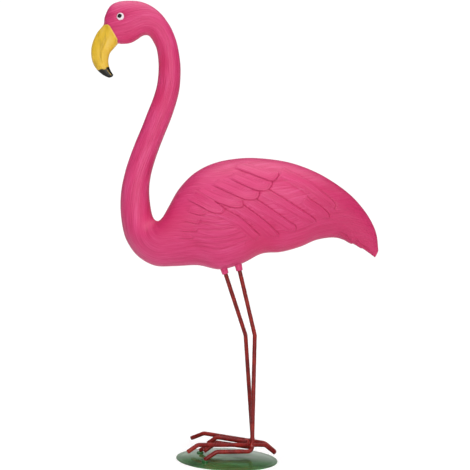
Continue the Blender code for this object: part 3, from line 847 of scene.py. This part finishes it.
class Paint(Nodes):
    """A Principled material with plain values, and the nodes that feed its shader."""

    def __init__(self, name, values):
        self.material = bpy.data.materials.new(name)
        self.material.use_nodes = True
        super().__init__(self.material.node_tree)
        self.shader = self.tree.nodes["Principled BSDF"]
        for key, value in values.items():
            self.shader.inputs[key].default_value = value

    def shade(self, colour, roughness, *bumps):
        """Feeds the shader and returns the material. Each bump: strength, distance and height."""
        self.feed(self.shader.inputs["Base Color"], colour)
        self.feed(self.shader.inputs["Roughness"], roughness)
        below = {}
        for strength, distance, height in bumps:
            inputs = {"Strength": strength, "Distance": distance, "Height": height, **below}
            below = {"Normal": self.node("Bump", inputs).outputs["Normal"]}
        self.feed(self.shader.inputs["Normal"], below["Normal"])
        return self.material


# In all materials a noise is its scale, detail, roughness and stretch, a ramp is the values where it starts
# and ends and its shares there, and a layer is the noise that places it, its ramp and its colour.
PINK = (0.59, 0.037, 0.15, 1)
PINK_PALE = (0.645, 0.064, 0.202, 1)
PINK_DEEP = (0.48, 0.02, 0.098, 1)
# Painted shade: the richer, deeper pink laid over the shaded spots
PINK_PAINTED_SHADE = (0.56, 0.019, 0.105, 1)
# Painted shade in the grooves
PINK_GROOVE_SHADE = (0.4, 0.01, 0.06, 1)
FINE_STRANDS = (1, 3, 0.6, (0.55, 0.02, 1))
BROAD_STRANDS = (1, 2, 0.5, (0.11, 0.012, 1))
FINE_SHARE = 0.6
BROAD_SHARE = 0.4
# Share of the painted shade at the middle of each shaded spot
PAINTED_SHADE_SHARE = 0.75
# Paler and deeper strands, paler clouds, and the deeper tail
PINK_LAYERS = [
    ("streaks", (0.5, 0.61), PINK_PALE),
    ("streaks", (0.49, 0.39, 0, 0.8), PINK_DEEP),
    ("cloud", (0.35, 0.7, 0, 0.25), PINK_PALE),
    ("lengthwise", (90 * MM, 235 * MM, 0, 0.75), PINK_DEEP),
]
# Painted shade in the grooves, by the carving's strength there
GROOVE_SHADE_LAYERS = [("line", (0.1, 1, 0, 0.45, False), PINK_GROOVE_SHADE)]


def plumage(paint, fine, broad, cloud):
    """Pink with paler and deeper strands, deeper at the tail, and painted shade at the throat, neck, saddle
    and belly and in the grooves.
    """
    fine_part = paint.math("MULTIPLY", fine, FINE_SHARE)
    streaks = paint.math("ADD", fine_part, paint.math("MULTIPLY", broad, BROAD_SHARE))
    lengthwise = paint.along(paint.place(), "X")
    pink = paint.layered(PINK, PINK_LAYERS, {"streaks": streaks, "cloud": cloud, "lengthwise": lengthwise})
    # Painted shade at the throat, neck, saddle and belly
    pink = paint.mix(paint.math("MULTIPLY", paint.attribute("painted_shade"), PAINTED_SHADE_SHARE), pink, PINK_PAINTED_SHADE)
    # Painted shade in the grooves
    return paint.layered(pink, GROOVE_SHADE_LAYERS, {"line": paint.attribute("line")})


YELLOW = (0.725, 0.455, 0.032, 1)
# Duller yellow, for the smears and for the painted shade in the grooves
YELLOW_DULL_AND_SHADE = (0.38, 0.24, 0.02, 1)
# Paler yellow, for the smears and for the painted highlight along the beak's edge
YELLOW_PALE_AND_HIGHLIGHT = (0.76, 0.505, 0.085, 1)
BEAK_BLACK = (0.008, 0.007, 0.005, 1)
SMEARS = (1, 3, 0.5, (120, 60, 30))
# Paler and duller smears, and painted shade in the grooves
YELLOW_LAYERS = [
    ("smear", (0.45, 0.7, 0, 0.8), YELLOW_PALE_AND_HIGHLIGHT),
    ("smear", (0.48, 0.3, 0, 0.5), YELLOW_DULL_AND_SHADE),
    ("line", (0.1, 1, 0, 0.75, False), YELLOW_DULL_AND_SHADE),
]
# Painted highlight along the beak's raised edge: where it comes in and goes inside the edge, and its share
RIM_HIGHLIGHT_START = (0, 0.8)
RIM_HIGHLIGHT_END = (3, 1.2)
RIM_HIGHLIGHT_SHARE = 0.8
TIP_SPECKLES = (0.3, 0.7, -1.3, 1.3)
TIP_EDGE = (-2.3, 0.4)
STREAK_EDGE = (0.95, 0.35)
STREAK_SHARE = 0.45


def beak_paint(paint, beak):
    """Smeared yellow with a painted highlight along its raised edge against the head, and the black tip
    with the streak at the mouth.
    """
    smear = paint.noise(*SMEARS)
    # Smears, and painted shade in the grooves
    yellow = paint.layered(YELLOW, YELLOW_LAYERS, {"smear": smear, "line": paint.attribute("line")})
    # Painted highlight along the beak's raised edge
    rim_highlight = paint.math("MULTIPLY", paint.ramp(beak, *RIM_HIGHLIGHT_START), paint.ramp(beak, *RIM_HIGHLIGHT_END))
    yellow = paint.mix(paint.math("MULTIPLY", rim_highlight, RIM_HIGHLIGHT_SHARE), yellow, YELLOW_PALE_AND_HIGHLIGHT)
    speckle = paint.noise(160, 4, 0.6)
    tip = paint.math("ADD", paint.attribute("black_tip"), paint.ramp(speckle, *TIP_SPECKLES))
    streak = paint.ramp(paint.attribute("mouth_streak"), *STREAK_EDGE)
    left_black = paint.math("SUBTRACT", 1, paint.math("MULTIPLY", streak, STREAK_SHARE))
    return paint.mix(paint.math("MULTIPLY", paint.ramp(tip, *TIP_EDGE), left_black), yellow, BEAK_BLACK)


EYE_WHITE = (0.76, 0.66, 0.7, 1)
EYE_BLACK = (0.008, 0.008, 0.009, 1)
EYE_PAINTS = [
    ("eye", EYE_RADIUS + 0.3, EYE_RADIUS - 0.4, EYE_WHITE),
    ("pupil", PUPIL_RADIUS + 0.4, PUPIL_RADIUS - 0.3, EYE_BLACK),
]
EYE_WOBBLE = (0.3, 0.7, -0.35, 0.35)


def with_eyes(paint, colour):
    """The colour with painted eyes over it, a little uneven at their edges."""
    wobble = paint.ramp(paint.noise(260), *EYE_WOBBLE)
    for name, outer, inner, fill in EYE_PAINTS:
        away = paint.math("ADD", paint.attribute(name), wobble)
        colour = paint.mix(paint.ramp(away, outer, inner), colour, fill)
    return colour


BEAK_PAINT_EDGE = (-0.25, 0.25)
BEAK_GLOSS = 0.1
GRAIN_SHARE = 0.12


def bird_material():
    """Satin pink plastic with fine strands, a painted beak and painted eyes."""
    paint = Paint("pink_plastic", {"Specular IOR Level": 0.35, "IOR": 1.46, "Coat Weight": 0})
    strand = paint.attribute("strand", "Vector")
    fine = paint.noise(*FINE_STRANDS, strand)
    broad = paint.noise(*BROAD_STRANDS, strand)
    cloud = paint.noise(9)
    beak = paint.attribute("beak")
    on_beak = paint.ramp(beak, *BEAK_PAINT_EDGE)
    colour = paint.mix(on_beak, plumage(paint, fine, broad, cloud), beak_paint(paint, beak))
    gloss = paint.math("MULTIPLY", on_beak, BEAK_GLOSS)
    roughness = paint.math("SUBTRACT", paint.ramp(cloud, 0.3, 0.7, 0.36, 0.44), gloss)
    off_beak = paint.math("SUBTRACT", 1, on_beak)
    lines = paint.math("MULTIPLY", paint.math("ADD", fine, broad), off_beak)
    grain = paint.math("MULTIPLY", paint.noise(900, 3, 0.6), GRAIN_SHARE)
    height = paint.math("ADD", lines, grain)
    return paint.shade(with_eyes(paint, colour), roughness, (0.5, 0.0012, height))


RED = (0.165, 0.006, 0.006, 1)
# Brighter red, rust and dark spots
RED_LAYERS = [
    ("cloud", (0.4, 0.65), (0.265, 0.013, 0.01, 1)),
    ("cloud", (0.62, 0.78, 0, 0.35), (0.19, 0.055, 0.02, 1)),
    ("grain", (0.55, 0.75, 0, 0.35), (0.075, 0.004, 0.004, 1)),
]


def red_paint():
    """Dark red enamel on rod, brushed on a little unevenly."""
    paint = Paint("red_paint", {"Specular IOR Level": 0.22, "Coat Weight": 0.03, "Coat Roughness": 0.12})
    cloud = paint.noise(55, 3)
    grain = paint.noise(420, 3, 0.6)
    colour = paint.layered(RED, RED_LAYERS, {"cloud": cloud, "grain": grain})
    roughness = paint.ramp(grain, 0.3, 0.7, 0.22, 0.38)
    return paint.shade(colour, roughness, (0.25, 0.0006, cloud), (0.12, 0.0003, grain))


WELD_RED = (0.56, 0.016, 0.016, 1)
# Dark red and yellow specks
WELD_LAYERS = [
    ("cloud", (0.4, 0.6), (0.25, 0.014, 0.014, 1)),
    ("speck", (0.62, 0.7), (0.7, 0.33, 0.05, 1)),
]


def weld_paint():
    """Bright red paint over rough weld, with specks of yellow."""
    paint = Paint("weld_paint", {"Coat Weight": 0.4, "Coat Roughness": 0.1})
    speck = paint.noise(900, 2, 0.6)
    cloud = paint.noise(300)
    colour = paint.layered(WELD_RED, WELD_LAYERS, {"cloud": cloud, "speck": speck})
    return paint.shade(colour, paint.ramp(speck, 0.3, 0.7, 0.18, 0.4), (0.5, 0.0006, speck))


# The disc's green and the thicker paint's on the toes' ends, each with its paler streaks
DISC_GREEN = (0.045, 0.165, 0.045, 1)
DISC_PALE = (0.08, 0.25, 0.075, 1)
TACK_GREEN = (0.013, 0.12, 0.02, 1)
TACK_PALE = (0.022, 0.21, 0.03, 1)
DARK_SHARE = 0.42
FLOWS = (1, 3, 0.5, (9, 34, 20))
PALE_FLOWS = (0.48, 0.68, 0, 0.9)
DARK_FLOWS = (0.46, 0.3, 0, 0.8)
DARK_CLOUDS = (0.55, 0.75, 0, 0.4)


def green_paint(name, base, pale):
    """Glossy green enamel with flowed streaks."""
    paint = Paint(name, {"Specular IOR Level": 0.5, "Coat Weight": 0.5, "Coat Roughness": 0.06})
    flow = paint.noise(*FLOWS)
    cloud = paint.noise(40, 3)
    dark = tuple(DARK_SHARE * c for c in base[:3]) + (1,)
    layers = [("flow", PALE_FLOWS, pale), ("flow", DARK_FLOWS, dark), ("cloud", DARK_CLOUDS, dark)]
    colour = paint.layered(base, layers, {"flow": flow, "cloud": cloud})
    return paint.shade(colour, paint.ramp(cloud, 0.3, 0.7, 0.12, 0.2), (0.12, 0.001, flow))


# Pieces


def socket_mesh(name, leg):
    """Outer skin of one leg socket, flared where it runs up into the belly."""
    mouth = leg_corners(leg)[0]
    turn = (-leg_direction(leg)).to_track_quat("Z", "Y")
    angles = [2 * pi * k / SOCKET_SIDES for k in range(SOCKET_SIDES)]
    rings = []
    for height in SOCKET_HEIGHTS:
        share = height * MM / SOCKET_LENGTH
        radius = ROD_RADIUS + TOUCH_GAP + SOCKET_WALL + SOCKET_FLARE * share
        radius += SKIN_FLARE * smoothstep(SKIN_FLARE_START, 1, share)
        radius -= SOCKET_LIP * max(0, 1 - height / SOCKET_LIP_HEIGHT)
        spokes = [Vector((radius * cos(a), radius * sin(a), height * MM)) for a in angles]
        rings.append([tuple(mouth + turn @ spoke) for spoke in spokes])
    return grid_mesh(name, np.array(rings))


def bore_mesh(name, leg):
    """Round cutter for the socket's bore, from a little below its mouth."""
    mouth = leg_corners(leg)[0]
    upward = -leg_direction(leg)
    below = mouth - upward * SOCKET_WALL
    depth = SOCKET_BORE_DEPTH + SOCKET_WALL
    radius = ROD_RADIUS + TOUCH_GAP
    shape = bmesh.new()
    bmesh.ops.create_cone(
        shape, cap_ends=True, segments=SOCKET_SIDES, radius1=radius, radius2=radius, depth=depth
    )
    turn = upward.to_track_quat("Z", "Y").to_matrix().to_4x4()
    shape.transform(Matrix.Translation(below + upward * (depth / 2)) @ turn)
    return mesh_of(shape, name)


def boolean(target, mesh, operation):
    tool = new_object(mesh.name, mesh)
    modifier = target.modifiers.new(mesh.name, "BOOLEAN")
    modifier.operation = operation
    modifier.solver = "MANIFOLD"
    modifier.object = tool
    return tool


def carved_bird(ring_count, side_count):
    """Rings of points on the bird's skin, its relief, and how far each point faces sideways."""
    plain = bird_rings(ring_count, side_count)
    relief = Relief(plain[..., 0], plain[..., 2], strand_flow(plain)).carve()
    normal = outward_normals(plain)
    facing = smoothstep(*FACING, np.abs(normal[..., 1]))
    sideways = TOP_STRANDS + (1 - TOP_STRANDS) * facing
    raised = relief.height * facing + STRAND_DEPTH * relief.barbs * sideways
    ring = np.arange(ring_count)
    ends = smoothstep(0, END_RINGS[0], ring) * smoothstep(0, END_RINGS[1], ring[::-1])
    shaped = plain + normal * (raised * ends[:, None])[..., None]
    shaped[..., 2] -= tail_bumps(plain[..., 0], -normal[..., 2])
    placed = shaped * BIRD_SCALE
    placed[..., 2] += HIP_HEIGHT
    return placed, relief, facing


def add_bird(material):
    share = 1
    ring_count, side_count = int(BIRD_RINGS * share), int(BIRD_SIDES * share) // 2 * 2
    placed, relief, facing = carved_bird(ring_count, side_count)
    source = new_object("bird_source", grid_mesh("bird_source", placed))
    lighter = source.modifiers.new("fewer faces", "DECIMATE")
    lighter.ratio = BIRD_TRIANGLES / (2 * ring_count * side_count)
    lighter.use_symmetry = True
    lighter.symmetry_axis = "Y"
    tools = []
    for side, leg in LEGS.items():
        tools.append(boolean(source, socket_mesh(f"{side}_socket", leg), "UNION"))
    for side, leg in LEGS.items():
        tools.append(boolean(source, bore_mesh(f"{side}_bore", leg), "DIFFERENCE"))
    mesh = evaluated_mesh("bird_skin", source)
    for tool in tools:
        bpy.data.objects.remove(tool)
    write_bird_attributes(mesh, placed, relief, facing)
    mesh.shade_smooth()
    mesh.set_sharp_from_angle(angle=radians(55))
    add_piece("bird_skin", mesh, material, "pink_plastic", "bird")


# Painted shade: where the pink is made deeper and richer, at the throat, the neck's inner side, the saddle
# and the belly. Each: x, z, radius
PAINTED_SHADE_SPOTS = [
    (-170, 433, 24),
    (-150, 396, 24),
    (-150, 330, 26),
    (-122, 100, 42),
    (-200, 425, 24),
    (60, 52, 45),
    (130, 42, 40),
]


def nearest_places(places, grid):
    """Index of the grid's point nearest to each place."""
    tree = kdtree.KDTree(len(grid))
    for index, point in enumerate(grid):
        tree.insert(point, index)
    tree.balance()
    return np.array([tree.find(point)[1] for point in places])


def write_bird_attributes(mesh, placed, relief, facing):
    """Distances and strand directions that the bird's material draws with."""
    places = vertex_places(mesh)
    x = places[:, 0] / BIRD_SCALE
    z = (places[:, 2] - HIP_HEIGHT) / BIRD_SCALE
    nearest = nearest_places(places, placed.reshape(-1, 3))
    across = relief.across.reshape(-1)[nearest]
    along = relief.along.reshape(-1)[nearest]
    strand = np.stack([across, along, np.zeros_like(across)], axis=1)
    set_attribute(mesh, "strand", strand)
    # Painted shade in the grooves, on the sides only
    set_attribute(mesh, "line", (relief.line * facing).reshape(-1)[nearest])
    for name, line in (("beak", BEAK_EDGE), ("black_tip", BLACK_TIP_LINE)):
        distance, side, _ = line_distance(x, z, line)
        set_attribute(mesh, name, distance * side)
    set_attribute(mesh, "mouth_streak", line_distance(x, z, MOUTH_STREAK)[0])
    # Painted shade: how near each point lies to the middle of a shaded spot
    painted_shade = np.zeros(len(places))
    for spot_x, spot_z, radius in PAINTED_SHADE_SPOTS:
        painted_shade = np.maximum(painted_shade, np.exp(-(np.hypot(x - spot_x, z - spot_z) / radius) ** 2))
    set_attribute(mesh, "painted_shade", painted_shade)
    for name, (middle_x, middle_z) in (("eye", EYE_PLACE), ("pupil", PUPIL_PLACE)):
        set_attribute(mesh, name, np.hypot(x - middle_x, z - middle_z))


def add_legs(material):
    for side, leg in LEGS.items():
        for part, path in (
            ("leg", leg_path(leg)),
            ("middle_and_back_toe", long_toe_path(leg)),
            ("inner_toe", inner_toe_path(leg)),
        ):
            name = f"{side}_{part}"
            add_piece(f"{name}_rod", rod_mesh(f"{name}_rod", path), material, "red_paint", name)


# Beads of weld and thick paint: size in X, Y and Z, and the seed of their lumps
ANKLE_WELD = ((0.0094, 0.0142, 0.0125), 1.3)
INNER_TOE_WELD = ((0.013, 0.0062, 0.0085), 2.1)
TOE_TACK = ((0.012, 0.01, 0.0055), 3.7)
ANKLE_WELD_SHARE = 0.3
INNER_WELD_AHEAD = 0.002
TACK_BACK = 0.001
TACK_RISE = 0.0012


def add_bead(name, place, bead, turn, material, slot):
    size, seed = bead
    add_piece(name, lumpy_blob(name, place, size, seed + turn), material, slot)


def add_welds(weld, green):
    for turn, (side, leg) in enumerate(LEGS.items()):
        ankle = leg_at_height(leg, WELD_HEIGHT).lerp(long_toe_line(leg)[0], ANKLE_WELD_SHARE)
        add_bead(f"{side}_ankle_weld", ankle, ANKLE_WELD, turn, weld, "red_paint")
        touching = Vector((0, leg["sign"] * ROD_RADIUS, INNER_TOE_DROP * MM / 2))
        joint = inner_toe_corners(leg)[0] + touching + Vector((-INNER_WELD_AHEAD, 0, 0))
        add_bead(f"{side}_inner_toe_weld", joint, INNER_TOE_WELD, turn, weld, "red_paint")
        toe_tip = leg_corners(leg)[4]
        height = disc_top(hypot(toe_tip.x - DISC_X, toe_tip.y))
        rest = Vector((toe_tip.x + TACK_BACK, toe_tip.y, height)) + Vector((0, 0, TACK_RISE))
        add_bead(f"{side}_toe_tack", rest, TOE_TACK, turn, green, "green_paint")


def disc_profile():
    """Radius and height of the disc's rings, from its middle above round the edge to its middle below."""
    radii = [DOME_RADIUS * k / DISC_RINGS for k in range(1, DISC_RINGS + 1)]
    edge = DISC_SHEET / 2
    profile = [(DISC_MIDDLE, disc_top(0))] + [(r, disc_top(r)) for r in radii]
    for k in range(RIM_STEPS + 1):
        turn = pi * k / RIM_STEPS
        profile.append((DISC_RADIUS - edge + edge * sin(turn), edge + edge * cos(turn)))
    profile += [(r, disc_top(r) - DISC_SHEET) for r in reversed(radii)]
    return profile + [(DISC_MIDDLE, disc_top(0) - DISC_SHEET)]


def disc_mesh():
    """Domed sheet with a rolled edge, a little uneven as pressed sheet is."""
    angle = np.linspace(0, 2 * pi, DISC_STEPS, endpoint=False)
    rings = []
    for radius, height in disc_profile():
        wave = 0
        for size, count, turn, twist in DISC_WAVES:
            wave = wave + size * np.sin(count * angle + turn + radius * twist)
        lift = wave * np.sin(pi * min(radius / DOME_RADIUS, 1)) ** 2
        x = DISC_X + radius * np.cos(angle)
        y = radius * np.sin(angle)
        rings.append(np.stack([x, y, np.maximum(height + lift, 0)], axis=1))
    return grid_mesh("painted_disc", np.array(rings))


def add_camera():
    data = bpy.data.cameras.new("camera")
    data.lens = CAMERA_LENS
    data.sensor_width = CAMERA_SENSOR
    data.clip_start, data.clip_end = CAMERA_CLIP
    camera = new_object("camera", data)
    turned = Matrix.Rotation(radians(90), 4, "X") @ Matrix.Rotation(CAMERA_ROLL, 4, "Z")
    camera.matrix_world = Matrix.Translation(CAMERA_PLACE) @ turned
    bpy.context.scene.camera = camera


# Lamps: place, target, size and power
LAMPS = {
    "front": ((0.9, -2.9, 1.4), (0, 0, 0.45), 0.9, 27),
    "low fill": ((0.2, -2.2, 0.12), (0, 0, 0.6), 0.8, 9),
}


def add_light(name, place, target, size, power):
    data = bpy.data.lights.new(name, "AREA")
    data.shape = "DISK"
    data.size = size
    data.energy = power
    lamp = new_object(name, data)
    lamp.location = place
    lamp.rotation_mode = "QUATERNION"
    lamp.rotation_quaternion = (Vector(target) - Vector(place)).to_track_quat("-Z", "Y")


# Studio light that comes from all round: its strength behind the ornament, and what is added above and in
# front, with the heights and depths between which each comes in
BACK_STRENGTH = 0.06
TOP_STRENGTH = 2.65
TOP_HEIGHTS = (0.7, 0.95)
FRONT_STRENGTH = 0.68
FRONT_DEPTHS = (-0.2, -1)
BACKGROUND_STRENGTH = 1.05
# A pale band low behind the ornament
HORIZON_BAND = (0.13, 0.33)
HORIZON_DEPTHS = (0, 0.6)
HORIZON_STRENGTH = 0.55
WHITE = (1, 1, 1, 1)


def add_world():
    world = bpy.data.worlds.new("studio")
    world.use_nodes = True
    nodes = Nodes(world.node_tree)
    nodes.tree.nodes.clear()
    way = nodes.node("TexCoord", {}).outputs["Generated"]
    up = nodes.along(way, "Z")
    back = nodes.along(way, "Y")
    above = nodes.ramp(up, *TOP_HEIGHTS, 0, TOP_STRENGTH)
    ahead = nodes.ramp(back, *FRONT_DEPTHS, 0, FRONT_STRENGTH)
    low = nodes.ramp(up, *HORIZON_BAND, HORIZON_STRENGTH, 0)
    behind = nodes.math("MULTIPLY", low, nodes.ramp(back, *HORIZON_DEPTHS))
    light = nodes.math("ADD", nodes.math("ADD", above, ahead), BACK_STRENGTH)
    light = nodes.math("ADD", light, behind)
    seen = nodes.camera_ray()
    strength = nodes.node("Mix", {"Factor": seen, "A": light, "B": BACKGROUND_STRENGTH})
    background = nodes.node("Background", {"Color": WHITE, "Strength": strength.outputs["Result"]})
    nodes.node("OutputWorld", {"Surface": background.outputs[0]})
    bpy.context.scene.world = world


# Floor: what it gives back to other surfaces, and what the camera sees, between two whites
FLOOR_BOUNCE = (0.78, 0.78, 0.78, 1)
FLOOR_GLOW = 0.14
FLOOR_LOW = (0.93, 0.93, 0.93, 1)
FLOOR_HIGH = (0.95, 0.95, 0.95, 1)


def floor_material():
    paint = Paint("pale_floor", {"Roughness": 0.9, "Specular IOR Level": 0.1, "Emission Color": WHITE})
    cloud = paint.noise(2)
    seen = paint.camera_ray()
    colour = paint.mix(paint.ramp(cloud, 0.3, 0.7), FLOOR_LOW, FLOOR_HIGH)
    paint.feed(paint.shader.inputs["Base Color"], paint.mix(seen, FLOOR_BOUNCE, colour))
    paint.feed(paint.shader.inputs["Emission Strength"], paint.math("MULTIPLY", seen, FLOOR_GLOW))
    return paint.material


def add_floor():
    shape = bmesh.new()
    bmesh.ops.create_circle(shape, cap_ends=True, segments=96, radius=9)
    mesh = mesh_of(shape, "floor")
    mesh.materials.append(floor_material())
    floor = new_object("floor", mesh)


def add_studio():
    bpy.context.scene.view_settings.view_transform = "Standard"
    add_world()
    add_floor()
    for name, lamp in LAMPS.items():
        add_light(name, *lamp)


add_camera()
add_studio()
add_bird(bird_material())
add_legs(red_paint())
green = green_paint("green_paint", DISC_GREEN, DISC_PALE)
add_welds(weld_paint(), green_paint("green_blob", TACK_GREEN, TACK_PALE))
add_piece("painted_disc", disc_mesh(), green, "green_paint", "base_disc")
